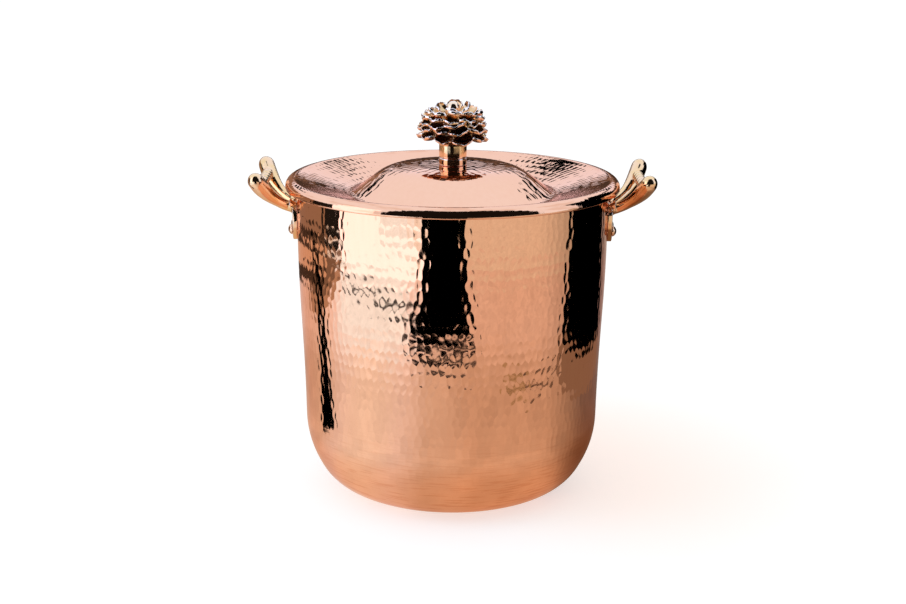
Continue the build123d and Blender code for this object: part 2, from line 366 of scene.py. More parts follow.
def hammered_sheet():
    """Tree that turns a section about the upright axis and strikes the rows of marks into it."""
    inputs = {"Columns": "Int", "Depth": "Float", "Swell": "Float", "Material": "Material"}
    start, sizes = new_tree("hammered_sheet", inputs)
    outline = start.other("Geometry")
    counted = {"Geometry": outline}
    point_count = outline.node("GeometryNodeAttributeDomainSize", None, counted, "Point Count")
    columns = sizes["Columns"]
    grid = point_count.node("GeometryNodeMeshGrid", None, {
        "Size X": columns,
        "Size Y": point_count - 1,
        "Vertices X": columns + 1,
        "Vertices Y": point_count,
    })
    across, along, _ = grid.node("GeometryNodeInputPosition").parts()
    column = (across + columns / 2).maths("ROUND")
    point_index = (along + (point_count - 1) / 2).maths("ROUND")
    kind = {"data_type": "FLOAT_VECTOR"}

    def sampled(value):
        wanted = {"Geometry": outline, "Value": value, "Index": point_index}
        return value.node("GeometryNodeSampleIndex", {**kind, "domain": "POINT"}, wanted)

    def carried(name):
        return sampled(outline.node("GeometryNodeInputNamedAttribute", kind, {"Name": name}))

    radius, _, height = sampled(outline.node("GeometryNodeInputPosition")).parts()
    turn = column / columns
    cosine = (turn * math.tau).maths("COSINE")
    sine = (turn * math.tau).maths("SINE")
    smooth = point(radius * cosine, radius * sine, height)
    struck, _, _ = carried("struck").parts()
    rows, *counts = carried("marks").parts()
    marks = hammer_marks(smooth, turn, rows, counts)
    dent = marks * struck * sizes["Depth"] + noise(smooth, sheet_waves, 1.0) * sizes["Swell"] * struck
    out_x, _, out_z = carried("outward").parts()
    ring = radius - out_x * dent
    moved = point(ring * cosine, ring * sine, height - out_z * dent)
    sheet = grid
    for name in ("marks", "struck"):
        values = {"Geometry": sheet, "Name": name, "Value": carried(name)}
        sheet = sheet.node("GeometryNodeStoreNamedAttribute", {**kind, "domain": "POINT"}, values)
    turned = moved.node("GeometryNodeSetPosition", None, {"Geometry": sheet, "Position": moved})
    merged = turned.node("GeometryNodeMergeByDistance", None, {"Geometry": turned, "Distance": seam_gap})
    shaded = merged.node("GeometryNodeSetShadeSmooth", None, {"Geometry": merged, "Shade Smooth": True})
    close_tree(shaded, sizes["Material"])
    return start.tree


def new_finish(name, metallic=1.0):
    """New material, metal unless told otherwise. Returns it and a wire of its tree."""
    material = bpy.data.materials.new(name)
    material.use_nodes = True
    wire = Wire(material.node_tree)
    dress(wire, {"Metallic": metallic})
    return material, wire


def dress(wire, values):
    """Connects values or wires to the sockets of a tree's Principled shader."""
    shader = wire.tree.nodes["Principled BSDF"]
    for name, value in values.items():
        if isinstance(value, Wire):
            wire.tree.links.new(value.socket, shader.inputs[name])
        else:
            shader.inputs[name].default_value = value


def stretched(place, scale):
    """Coordinates scaled by a different amount along each axis."""
    return place.node("ShaderNodeMapping", None, {"Vector": place, "Scale": scale})


def relief(height, strength, distance, under=None):
    """Surface direction bent by a fine relief, over another relief if one is given."""
    values = {"Strength": strength, "Distance": distance, "Height": height}
    if under:
        values["Normal"] = under
    return height.node("ShaderNodeBump", None, values)


def copper_finish():
    """Polished copper: rosy, with faint streaks, crisp ridges between marks, and brushed where few are."""
    material, wire = new_finish("hammered_copper")
    place = wire.node("ShaderNodeTexCoord", output="Object")
    clouds = noise(place, 16.0, 4.0)
    streaks = noise(stretched(place, (1.0, 1.0, 0.12)), 260.0, 3.0)
    colour = clouds.mixed((0.93, 0.475, 0.29, 1.0), (0.94, 0.52, 0.34, 1.0))
    colour = (streaks * 0.5).mixed(colour, (0.87, 0.42, 0.25, 1.0))
    across, along, _ = place.parts()
    turn = along.maths("ARCTAN2", across) / math.tau
    struck = wire.node("ShaderNodeAttribute", {"attribute_name": "struck"}, output="Vector").parts()[0]
    rows, *counts = wire.node("ShaderNodeAttribute", {"attribute_name": "marks"}, output="Vector").parts()
    ridges = (1 - hammer_marks(place, turn, rows, counts)) * struck
    dented = relief(ridges, 1.0, mark_bite)
    grain = noise(place, 900.0)
    lines = noise(stretched(place, (1.0, 1.0, 14.0)), 40.0, 5.0)
    brushed = (1 - struck).between(0.2, 0.9)
    colour = (lines.between(0.50, 0.64) * brushed * 0.8).mixed(colour, (0.76, 0.32, 0.17, 1.0))
    dress(wire, {
        "Base Color": colour,
        "Specular Tint": (0.97, 0.80, 0.75, 1.0),
        "Roughness": 0.02 + clouds * 0.04 + streaks * 0.02,
        "Normal": relief(grain * 0.2 + streaks * 0.4 + lines * brushed * 9.0, 0.08, 0.0002, dented),
    })
    return material


hammered = hammered_sheet()
copper = copper_finish()
vessel_runs = bent_line(vessel_corners, widest_bends(vessel_corners))
vessel_length = line_length(vessel_runs)
hidden_legs = [(wall_end, 0.060), (corner_end, 0.010), (vessel_length, 0.040)]
vessel = section(
    "vessel",
    vessel_runs,
    (0.0, -vessel_sheet),
    steps(edge_round, (wall_end, wall_step), (corner_end, corner_step), (vessel_length, base_step)),
    steps(edge_round, *hidden_legs),
    vessel_strokes,
)
marks_around = round(math.tau * rim_radius / mark_width)
run_tree(vessel, hammered, {
    "Columns": 4 * marks_around, "Depth": mark_depth, "Swell": vessel_swell, "Material": copper,
})
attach(vessel, "pot")
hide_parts("pot_vessel")


# Pot lining
# Molten tin wiped with a pad over the whole inside of the vessel, up to the rim. It follows the backs of the
# hammer marks softly and keeps the swirls of the wiping.
tin_coat = 0.0004
lining_edge = tin_coat / 4
lining_step = mark_height / 3
lining_legs = [(wall_end, lining_step), (corner_end, mark_height / 2), (vessel_length, base_step)]
lining_mark_depth = -0.00003
lining_swell = -0.00010


def tin_finish():
    """Wiped tin: satin and grey-white, with level wiping streaks and cloudy darker patches."""
    material, wire = new_finish("tin_coat")
    place = wire.node("ShaderNodeTexCoord", output="Object")
    clouds = noise(place, 22.0, 5.0)
    wiping = noise(stretched(place, (1.0, 1.0, 7.0)), 60.0, 5.0)
    dress(wire, {
        "Base Color": clouds.mixed((0.60, 0.59, 0.56, 1.0), (0.83, 0.82, 0.80, 1.0)),
        "Roughness": 0.22 + wiping * 0.16 + clouds * 0.06,
        "Normal": relief(wiping + clouds * 0.6, 0.25, 0.0004),
    })
    return material


tin = tin_finish()
lining = section(
    "lining",
    vessel_runs,
    (-vessel_sheet - tin_coat, -vessel_sheet),
    steps(lining_edge, *lining_legs),
    steps(lining_edge, *hidden_legs),
    vessel_strokes,
)
run_tree(lining, hammered, {
    "Columns": 2 * marks_around, "Depth": lining_mark_depth, "Swell": lining_swell, "Material": tin,
})
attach(lining, "pot")
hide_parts("pot_lining")


# Handles
# A shield plate, two horn-shaped arms that swell into round ends, and a beaded grip between the ends, cast
# in one piece in bronze, filed and polished. Painted shade darkens the hollows, and painted highlight
# lightens the rounded lips.
cast_grain = 0.0006
file_waves = 130.0
hollow_passes = 14
plate_face = 0.1414
arm_root = Vector((0.1384, 0.0130, 0.2570))
arm_bow = Vector((0.0053, -0.0055, -0.0066))
arm_steps = 24
waist_radius = 0.0046
bulb_radius = 0.0072
bulb_length = 0.0086
swell_start = 0.30
swell_length = 0.62
arm_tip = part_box("right_handle")[1] - Vector((0.0074, 0.0072, 0.0071))
grip_share = 0.88
grip_radius = 0.0033
bead_rise = 0.0017
bead_count = 8
bead_steps = 12
bead_roundness = 0.7
piece_columns = 32
merge_gap = 1e-6


def cast_skin():
    """Tree that files low waves into a casting and stores painted shade for its hollows and undersides,
    above 0, and painted highlight for its lips, below 0.
    """
    inputs = {"Waves": "Float", "Hollow": "Float", "Underside_Shade": "Float", "Material": "Material"}
    start, sizes = new_tree("cast_skin", inputs)
    body = start.other("Geometry")
    place = body.node("GeometryNodeInputPosition")
    facing = body.node("GeometryNodeInputNormal")
    blur = {"Value": place, "Iterations": hollow_passes}
    level = place.node("GeometryNodeBlurAttribute", {"data_type": "FLOAT_VECTOR"}, blur)
    sunk = level.node("ShaderNodeVectorMath", {"operation": "SUBTRACT"}, {0: level, 1: place})
    depth = sunk.node("ShaderNodeVectorMath", {"operation": "DOT_PRODUCT"}, {0: sunk, 1: facing}, "Value")
    # Painted shade on the undersides: the more a face looks down, the darker it is painted, by the given
    # strength.
    below = facing.parts()[2].between(-0.35, -0.9) * sizes["Underside_Shade"]
    # Stores painted shade, deeper in the hollows, and painted highlight, below 0, on the lips.
    marked = body.node(
        "GeometryNodeStoreNamedAttribute",
        {"data_type": "FLOAT", "domain": "POINT"},
        {"Geometry": body, "Name": "hollow", "Value": depth / sizes["Hollow"] + below},
    )
    lift = (noise(place, file_waves, 1.0) - 0.5) * sizes["Waves"]
    push = lift.node("ShaderNodeVectorMath", {"operation": "SCALE"}, {0: facing, "Scale": lift})
    moved = push.node("GeometryNodeSetPosition", None, {"Geometry": marked, "Offset": push})
    close_tree(moved, sizes["Material"])
    return start.tree


def bronze_finish():
    """Polished bronze: golden with rosy patches and fine scratches, painted highlight on the lips and
    painted dark brown shade in the hollows.
    """
    material, wire = new_finish("cast_bronze")
    place = wire.node("ShaderNodeTexCoord", output="Object")
    clouds = noise(place, 70.0, 3.0)
    scratches = noise(stretched(place, (1.0, 1.0, 0.2)), 700.0, 2.0)
    depth = wire.node("ShaderNodeAttribute", {"attribute_name": "hollow"}, output="Fac")
    hollow = depth.between(0.0, 1.0)
    lip_highlight = depth.between(-0.25, -0.80)
    colour = clouds.between(0.42, 0.60).mixed((0.89, 0.54, 0.26, 1.0), (0.91, 0.56, 0.34, 1.0))
    # Painted highlight: the lips are lightened to a pale pink.
    colour = (lip_highlight * 0.95).mixed(colour, (0.98, 0.81, 0.76, 1.0))
    # Painted shade: the hollows and undersides darken to brown.
    colour = hollow.mixed(colour, (0.20, 0.09, 0.05, 1.0))
    dress(wire, {
        "Base Color": colour,
        "Roughness": 0.06 + clouds * 0.05 + scratches * 0.04 + hollow * 0.35,
        "Normal": relief(scratches + clouds * 0.8, 0.08, 0.0002),
    })
    return material


def opened(node):
    """A node's solid, opened for bench work, with its loose triangles merged."""
    work = bmesh.new()
    work.from_mesh(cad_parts[node].data)
    bmesh.ops.remove_doubles(work, verts=work.verts, dist=merge_gap)
    return work


def finished(name, work):
    """New piece from bench work."""
    mesh = bpy.data.meshes.new(name)
    work.to_mesh(mesh)
    work.free()
    return new_piece(name, mesh)


def cast_copy(name, node, grain, soften):
    """A casting's own mesh from a node's solid: closed, evenly grained, with its corners softened."""
    piece = finished(name, opened(node))
    regrain(piece, grain, soften)
    return piece


def regrain(piece, grain, soften):
    """Fuses a piece's shells into one even skin, softened by a number of passes."""
    remesh = piece.modifiers.new("grain", "REMESH")
    remesh.mode = "VOXEL"
    remesh.voxel_size = grain
    remesh.use_smooth_shade = True
    smooth = piece.modifiers.new("soften", "SMOOTH")
    smooth.factor = 0.5
    smooth.iterations = soften
    settle(piece)


def swept(name, stations):
    """Closed round piece through stations along a line: the middle, heading and radius of each."""
    work = bmesh.new()
    angles = [math.tau * column / piece_columns for column in range(piece_columns)]
    rings = []
    for middle, heading, radius in stations:
        side = heading.cross(Vector((0, 0, 1))).normalized()
        up = side.cross(heading).normalized()
        spots = [middle + (side * math.cos(angle) + up * math.sin(angle)) * radius for angle in angles]
        rings.append([work.verts.new(spot) for spot in spots])
    for near, far in zip(rings, rings[1:]):
        for column in range(piece_columns):
            work.faces.new([near[column - 1], near[column], far[column], far[column - 1]])
    work.faces.new(rings[0])
    work.faces.new(rings[-1])
    bmesh.ops.recalc_face_normals(work, faces=work.faces)
    return finished(name, work)


def arm_middle(share):
    """Point on the middle line of the rear arm, at a share of its low bow, and the heading there."""
    bow = (arm_root + arm_tip) / 2 + arm_bow
    middle = arm_root * (1 - share) ** 2 + bow * 2 * share * (1 - share) + arm_tip * share ** 2
    return middle, ((bow - arm_root) * (1 - share) + (arm_tip - bow) * share).normalized()


def arm_stations():
    """Stations of the rear arm: out from the plate, and a swelling that ends in half a ball."""
    stations = []
    for step in range(arm_steps + 1):
        share = step / arm_steps
        middle, heading = arm_middle(share)
        rise = min(1.0, max(0.0, (share - swell_start) / swell_length))
        radius = waist_radius + (bulb_radius - waist_radius) * rise * rise * (3 - 2 * rise)
        stations.append((middle, heading, radius))
    for angle in (0.25, 0.50, 0.75, 1.0, 1.25, 1.45):
        middle = arm_tip + heading * bulb_length * math.sin(angle)
        stations.append((middle, heading, bulb_radius * math.cos(angle)))
    return stations


def grip_stations():
    """Stations of the grip from one arm's end to the other, with a row of low beads."""
    along = Vector((0, 1, 0))
    rear, _ = arm_middle(grip_share)
    start = Vector((rear.x, -rear.y, rear.z))
    stations = []
    step_count = bead_steps * bead_count
    for step in range(step_count + 1):
        share = step / step_count
        swell = abs(math.sin(math.pi * bead_count * share)) ** bead_roundness
        stations.append((start + along * 2 * rear.y * share, along, grip_radius + bead_rise * swell))
    return stations


def cut_plate():
    """The right handle's plate from its solid, with its rivet bores, parted from the arms at its face."""
    work = opened("right_handle")
    whole = work.verts[:] + work.edges[:] + work.faces[:]
    face = {"plane_co": (plate_face, 0, 0), "plane_no": (1, 0, 0)}
    bmesh.ops.bisect_plane(work, geom=whole, clear_outer=True, **face)
    bmesh.ops.holes_fill(work, edges=[edge for edge in work.edges if edge.is_boundary], sides=0)
    return finished("plate", work)


def mirrored_piece(name, piece, axis):
    """Copy of a piece, mirrored across the pot's middle along an axis."""
    mesh = piece.data.copy()
    mesh.transform(Matrix.Scale(-1, 4, axis))
    mesh.flip_normals()
    return new_piece(name, mesh)


def joined(name, pieces):
    """One piece from several, which are removed."""
    work = bmesh.new()
    for piece in pieces:
        work.from_mesh(piece.data)
        bpy.data.objects.remove(piece)
    return finished(name, work)


casting = cast_skin()
bronze = bronze_finish()
rear_arm = swept("rear_arm", arm_stations())
front_arm = mirrored_piece("front_arm", rear_arm, (0, 1, 0))
right_grip = joined("right_grip", [cut_plate(), rear_arm, front_arm, swept("grip", grip_stations())])
left_grip = mirrored_piece("left_grip", right_grip, (1, 0, 0))
for side, handle in {"right": right_grip, "left": left_grip}.items():
    regrain(handle, cast_grain, soften=4)
    # The bronze paints shade into the handle's hollows and highlight onto its rounded parts.
    run_tree(handle, casting, {"Waves": 0.00022, "Hollow": 0.0008, "Underside_Shade": 0.0, "Material": bronze})
    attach(handle, "pot")
    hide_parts(f"{side}_handle")


# Rivets
# Soft copper rivets, two through each plate and the wall. The heads outside are round and bear the flats of
# the hammer, and the tails inside are peened low.
rivet_grain = 0.00035


def rivet_finish():
    """Copper worked by hammer: rings of painted shade where the head meets the plate, small bright flats on
    top.
    """
    material, wire = new_finish("rivet_copper")
    place = wire.node("ShaderNodeTexCoord", output="Object")
    clouds = noise(place, 120.0, 3.0)
    flats = place.node("ShaderNodeTexVoronoi", None, {"Vector": place, "Scale": 420.0})
    # Painted shade in the rivet's hollows, where the head meets the plate.
    hollow = wire.node("ShaderNodeAttribute", {"attribute_name": "hollow"}, output="Fac").between(0.0, 1.0)
    colour = clouds.mixed((0.84, 0.47, 0.29, 1.0), (0.90, 0.56, 0.36, 1.0))
    dress(wire, {
        "Base Color": hollow.mixed(colour, (0.12, 0.05, 0.03, 1.0)),
        "Roughness": 0.13 + clouds * 0.10,
        "Normal": relief(flats, 0.35, 0.0003),
    })
    return material


rivet_copper = rivet_finish()
for place_name in ("right_rear", "right_front", "left_rear", "left_front"):
    rivet = cast_copy(f"{place_name}_rivet_head", f"{place_name}_rivet", rivet_grain, soften=3)
    run_tree(rivet, casting, {"Waves": 0.00025, "Hollow": 0.0003, "Underside_Shade": 0.0, "Material": rivet_copper})
    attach(rivet, "pot")
    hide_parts(f"{place_name}_rivet")


# Lid shell
# One disc of copper, sunk to a sloping brim and a raised dome, with its edge turned down over the vessel's
# rim. The marks run in rings about the middle and are shallow on the turned edge.
lid_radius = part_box("lid_shell")[1].x
lid_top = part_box("lid_shell")[1].z
lid_sheet = 0.0016
screw_bore = 0.00305
edge_lean = 0.0006
lid_corners = [
    (lid_radius, lid_top - 0.01880),
    (lid_radius - edge_lean, lid_top - 0.00783),
    (0.0885, lid_top - 0.02470),
    (0.0580, lid_top - 0.00200),
    (0.0340, lid_top),
    (0.0, lid_top),
]
lid_bends = [0.0074, 0.0080, 0.038, 0.150]
crest_end = 0.016
slope_end = 0.022
lid_strokes = [(crest_end, 0.35), (slope_end, 1.0)]
crest_step = 0.0012
lid_mark_depth = 0.00006
lid_swell = 0.00010

lid_runs = bent_line(lid_corners, lid_bends)
lid_end = line_length(lid_runs) - screw_bore
hidden_lid_legs = [(crest_end, 0.0020), (lid_end, 0.0060)]
lid = section(
    "lid",
    lid_runs,
    (0.0, lid_sheet),
    steps(edge_round, (crest_end, crest_step), (lid_end, wall_step)),
    steps(edge_round, *hidden_lid_legs),
    lid_strokes,
    closed=True,
)
run_tree(lid, hammered, {
    "Columns": 4 * marks_around, "Depth": lid_mark_depth, "Swell": lid_swell, "Material": copper,
})
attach(lid, "lid")
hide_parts("lid_shell")


# Lid lining
# Molten tin wiped over the whole underside of the lid, from its turned edge to the bore of the screw. It
# follows the backs of the marks as softly as the pot's lining does.
crest_lining_step = 0.0020
lid_lining_swell = -0.00008
lid_lining = section(
    "lid_tin",
    lid_runs,
    (lid_sheet + tin_coat, lid_sheet),
    steps(lining_edge, (crest_end, crest_lining_step), (lid_end, lining_step)),
    steps(lining_edge, *hidden_lid_legs),
    lid_strokes,
    closed=True,
)
run_tree(lid_lining, hammered, {
    "Columns": 2 * marks_around, "Depth": lining_mark_depth, "Swell": lid_lining_swell, "Material": tin,
})
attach(lid_lining, "lid")
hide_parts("lid_lining")


# Finial collar
# A short ring, turned from a bronze casting and polished, that seats the knob on the dome. The screw passes
# through its bore and clamps it between the lid and the knob's stem.
collar_grain = 0.0004
collar = cast_copy("collar", "finial_collar", collar_grain, soften=3)
# The bronze paints shade into the collar's hollows and highlight onto its rounded edges.
run_tree(collar, casting, {"Waves": 0.00010, "Hollow": 0.0003, "Underside_Shade": 0.0, "Material": bronze})
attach(collar, "lid")
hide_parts("finial_collar")


# Finial flower
# The knob, cast in one piece: a round stem and a full flower head of spoon-shaped petals in staggered tiers,
# drooping at the bottom and closing over a bud at the top. Painted highlight lightens the petals' lips, and
# painted shade darkens the hollows and undersides.
flower_low, flower_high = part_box("finial_flower")
stem_radius = 0.0121
stem_height = 0.0120
stem_round = 0.0006
throat_flare = 0.0018
throat_height = 0.0040
head_middle = flower_low.z + stem_height + 0.0135
head_radius = 0.0298
head_rise = flower_high.z - head_middle - 0.0012
core_share = 0.66
bud_radius = 0.0062
bud_rise = 0.0070
bud_sink = 0.0085
tier_count = 6
tier_turn = 0.5
petal_shrink = 0.28
dome_share = 0.92
dome_power = 4.5
lowest_lip = flower_low.z + stem_height + 0.0042
highest_lip = flower_high.z - 0.0032
lowest_tilt = -28.0
highest_tilt = 58.0
widest_count = 10
fewest_count = 6
petal_length = 0.0150
petal_half_width = 0.0092
petal_steps = 10
petal_sheet = 0.0022
petal_root_sheet = 0.0028
petal_widest = 0.6
tip_start = 0.55
tip_length = 0.47
lip_start = 0.4
bowl_depth = 0.0016
side_rise = 0.0024
lip_rise = 0.0014
flower_grain = 0.00062


def petal_shape():
    """Spoon-shaped petal along +X from its root: narrow root, hollow bowl and high round sides."""
    points = []
    for layer in (1, -1):
        for step_along in range(petal_steps + 1):
            along = step_along / petal_steps
            widening = math.sin(math.pi / 2 * min(1, along / petal_widest))
            rounding = math.sqrt(1 - max(0.0, (along - tip_start) / tip_length) ** 2)
            width = petal_half_width * (0.5 + 0.5 * widening) * rounding
            sheet = petal_root_sheet + (petal_sheet - petal_root_sheet) * along
            for step_across in range(petal_steps + 1):
                across = 2 * step_across / petal_steps - 1
                bowl = -bowl_depth * math.sin(math.pi * along) * (1 - across ** 2)
                sides = side_rise * across ** 2 * min(1, along * 2)
                tip = lip_rise * max(0, (along - lip_start) / (1 - lip_start)) ** 2
                height = bowl + sides + tip + layer * sheet / 2
                points.append((petal_length * along, width * across, height))
    row = petal_steps + 1
    layer_size = row * row
    faces = []
    for step_along in range(petal_steps):
        for step_across in range(petal_steps):
            corner = step_along * row + step_across
            top = [corner, corner + row, corner + row + 1, corner + 1]
            faces.append(top)
            faces.append([index + layer_size for index in reversed(top)])
    border = [step * row for step in range(row)]
    border += [petal_steps * row + step for step in range(1, row)]
    border += [step * row + petal_steps for step in range(petal_steps - 1, -1, -1)]
    border += list(range(petal_steps - 1, 0, -1))
    for start, end in zip(border, border[1:] + border[:1]):
        faces.append([end, start, start + layer_size, end + layer_size])
    mesh = bpy.data.meshes.new("petal_shape")
    mesh.from_pydata(points, [], faces)
    return mesh


def petal_tier():
    """Tree that sets a tier of petals round the upright axis, each a little off its place and size."""
    inputs = {"Count": "Int", "Seed": "Int", "Petal": "Object", "Material": "Material"}
    inputs.update({name: "Float" for name in ("Reach", "Level", "Tilt", "Turn", "Scale")})
    start, sizes = new_tree("petal_tier", inputs)
    line = start.node("GeometryNodeMeshLine", None, {"Count": sizes["Count"]})
    index = line.node("GeometryNodeInputIndex")
    angle = index / sizes["Count"] * math.tau + sizes["Turn"]

    def chance(low, high, offset):
        values = {"Min": low, "Max": high, "ID": index, "Seed": sizes["Seed"] + offset}
        return index.node("FunctionNodeRandomValue", {"data_type": "FLOAT"}, values, "Value")

    reach = sizes["Reach"] * chance(0.95, 1.03, 0)
    level = sizes["Level"] + chance(-0.0010, 0.0010, 1)
    place = point(reach * angle.maths("COSINE"), reach * angle.maths("SINE"), level)
    spots = place.node("GeometryNodeSetPosition", None, {"Geometry": line, "Position": place})
    tilt = chance(-0.14, 0.14, 3) - sizes["Tilt"]
    lean = point(chance(-0.20, 0.20, 2), tilt, angle + chance(-0.07, 0.07, 4))
    petal = place.node("GeometryNodeObjectInfo", None, {"Object": sizes["Petal"]}, "Geometry")
    size = sizes["Scale"] * chance(0.88, 1.08, 5)
    values = {"Points": spots, "Instance": petal, "Rotation": lean, "Scale": size}
    close_tree(petal.node("GeometryNodeInstanceOnPoints", None, values), sizes["Material"])
    return start.tree


def turned_shape(name, outline, columns):
    """Closed piece turned about the upright axis from an outline of radii and levels, bottom to top."""
    points = []
    for radius, level in outline[1:-1]:
        for column in range(columns):
            angle = math.tau * column / columns
            points.append((radius * math.cos(angle), radius * math.sin(angle), level))
    faces = []
    for ring in range(len(outline) - 3):
        for column in range(columns):
            first, second = ring * columns + column, ring * columns + (column + 1) % columns
            faces.append([first, second, second + columns, first + columns])
    points += [(0, 0, outline[0][1]), (0, 0, outline[-1][1])]
    last_ring = (len(outline) - 3) * columns
    for column in range(columns):
        following = (column + 1) % columns
        faces.append([following, column, len(points) - 2])
        faces.append([last_ring + column, last_ring + following, len(points) - 1])
    mesh = bpy.data.meshes.new(name)
    mesh.from_pydata(points, [], faces)
    return new_piece(name, mesh)


def ball_outline(radius, rise, middle, count):
    """Outline of a ball, stretched to a rise above and below its middle."""
    angles = [math.pi * (index / count - 0.5) for index in range(count + 1)]
    return [(radius * math.cos(angle), middle + rise * math.sin(angle)) for angle in angles]


petal = new_piece("petal", petal_shape())
tier_tree = petal_tier()
core_outline = ball_outline(core_share * head_radius, core_share * head_rise, head_middle, 24)
bud_outline = ball_outline(bud_radius, bud_rise, flower_high.z - bud_sink, 16)
stem_outline = [
    (0.0, flower_low.z),
    (stem_radius - stem_round, flower_low.z),
    (stem_radius, flower_low.z + stem_round),
    (stem_radius, flower_low.z + stem_height),
    (stem_radius + throat_flare, flower_low.z + stem_height + throat_height),
    (0.0, head_middle),
]
flower_parts = [
    turned_shape("core", core_outline, 48),
    turned_shape("stem", stem_outline, 64),
    turned_shape("bud", bud_outline, 24),
]
for tier in range(tier_count):
    share = tier / (tier_count - 1)
    tilt = math.radians(lowest_tilt + share ** 2 * (highest_tilt - lowest_tilt))
    scale = 1.0 - petal_shrink * share ** 3
    tip_radius = head_radius * math.sqrt(1 - (dome_share * share) ** dome_power)
    tip_level = lowest_lip + share * (highest_lip - lowest_lip) - lip_rise
    petals = new_piece("petals", bpy.data.meshes.new("petals"))
    run_tree(petals, tier_tree, {
        "Count": max(fewest_count, round(widest_count * tip_radius / head_radius)),
        "Reach": tip_radius - petal_length * scale * math.cos(tilt),
        "Level": tip_level - petal_length * scale * math.sin(tilt),
        "Tilt": tilt,
        "Turn": tier_turn * tier,
        "Scale": scale,
        "Seed": 10 * tier,
        "Petal": petal,
        "Material": bronze,
    })
    flower_parts.append(petals)
bpy.data.objects.remove(petal)
flower = joined("flower", flower_parts)
regrain(flower, flower_grain, soften=1)
# Painted shade, strongest on the undersides, and painted highlight on the lips of the flower.
run_tree(flower, casting, {"Waves": 0.00010, "Hollow": 0.00050, "Underside_Shade": 1.1, "Material": bronze})
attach(flower, "lid")
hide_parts("finial_flower")


# Finial washer and screw
# A washer and a slotted screw, both turned from brass bar. The screw goes up through the washer, the dome
# and the collar into the knob's stem, and clamps them all.
def brass_finish():
    """Turned brass: yellow, with the fine rings of the lathe and a few dull spots."""
    material, wire = new_finish("screw_brass")
    place = wire.node("ShaderNodeTexCoord", output="Object")
    rings = noise(stretched(place, (0.05, 0.05, 1.0)), 2500.0, 2.0)
    spots = noise(place, 300.0, 3.0)
    dress(wire, {
        "Base Color": spots.mixed((0.80, 0.62, 0.30, 1.0), (0.70, 0.52, 0.24, 1.0)),
        "Roughness": 0.16 + spots * 0.18,
        "Normal": relief(rings, 0.20, 0.0001),
    })
    return material


brass = brass_finish()
for node in ("finial_washer", "finial_screw"):
    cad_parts[node].material_slots[0].material = brass


# Stage
# White floor that keeps the pot's shadow, white surroundings with the soft and dark panels that the polished
# copper mirrors, and the camera of the photograph.
light_azimuth = -57.0
card_lift = 0.001
ring_lift = 0.002
strip_lift = 0.003
black = (0.0, 0.0, 0.0, 1.0)
white = (1.0, 1.0, 1.0, 1.0)
brown = (1.0, 0.74, 0.54, 1.0)
worn_brown = (1.0, 0.80, 0.50, 1.0)
cool_white = (1.0, 1.25, 1.60, 1.0)
softbox_white = (1.75, 1.90, 2.38, 1.0)
glow_white = (1.05, 1.45, 1.80, 1.0)


def views(wire):
    """1 for a straight view that ends on this surface, and 1 for one that comes by way of the metal."""
    rays = wire.node("ShaderNodeLightPath")
    mirrored = rays.other("Is Glossy Ray").maths("MAXIMUM", rays.other("Is Transmission Ray"))
    return rays.other("Is Camera Ray"), mirrored


def floor_finish():
    """Matt white card: washed out where it is looked at, and as the metal mirrors it, painted as lit from
    the left, with painted shade.
    """
    material, wire = new_finish("white_floor", 0.0)
    place = wire.node("ShaderNodeTexCoord", output="Object")
    straight, mirrored = views(wire)
    across, along, _ = place.parts()
    away = (across * across + along * along) ** 0.5
    light_x, light_y, _ = polar(light_azimuth, 1.0)
    lit = (across * light_x + along * light_y) / away
    # Painted pool of light for the metal to mirror: bright towards the softbox, dim away from it.
    pool = (lit * 0.5 + 0.5).ramp(
        (0.02, (0.20, 0.165, 0.15, 1.0)),
        (0.10, (0.42, 0.34, 0.27, 1.0)),
        (0.24, (0.62, 0.50, 0.40, 1.0)),
        (0.68, (0.64, 0.52, 0.42, 1.0)),
        (0.87, (0.74, 0.67, 0.60, 1.0)),
        (0.96, (0.88, 0.90, 0.96, 1.0)),
        (1.00, (0.96, 1.00, 1.00, 1.0)),
    )
    farther = away.between(0.42, 0.60).mixed(white, (1.24, 1.30, 1.45, 1.0))
    farthest = away.between(0.85, 1.10).mixed(white, (1.03, 1.18, 1.16, 1.0))
    unlit = away.between(0.40, 0.24) * lit.between(0.9, 0.4)
    nearer = unlit.mixed(white, (1.14, 1.14, 1.12, 1.0))
    # Painted hot spot of light on the floor near the softbox.
    glow = away.between(0.44, 0.62) * lit.between(0.82, 0.94)
    # Painted shadow of the pot, to its right, away from the light.
    shade = away.between(0.42, 0.16) * lit.between(-0.25, -0.95)
    # Painted copper glow on the floor by the pot, away from the light, which the card's colour shows where
    # it is looked at.
    painted_copper_glow = away.between(0.40, 0.15) * lit.between(0.30, -0.80)
    # Painted contact shade all round the pot's base.
    closest = away.between(0.24, 0.12).mixed(white, (0.97, 0.82, 0.70, 1.0))
    pool = pool.tinted(farther).tinted(farthest).tinted(nearer).tinted(closest)
    seen = glow.mixed(pool, glow_white)
    clouds = noise(place, 13.0, 3.0)
    card = painted_copper_glow.mixed((0.81, 0.81, 0.81, 1.0), (0.86, 0.66, 0.56, 1.0))
    dress(wire, {
        "Base Color": mirrored.mixed(card, black),
        "Roughness": 0.9,
        "Specular IOR Level": 0.0,
        "Emission Color": mirrored.mixed(white, shade.mixed(seen, (0.20, 0.11, 0.06, 1.0))),
        "Emission Strength": straight * 0.56 + mirrored * (0.72 + clouds * 0.56),
    })
    return material


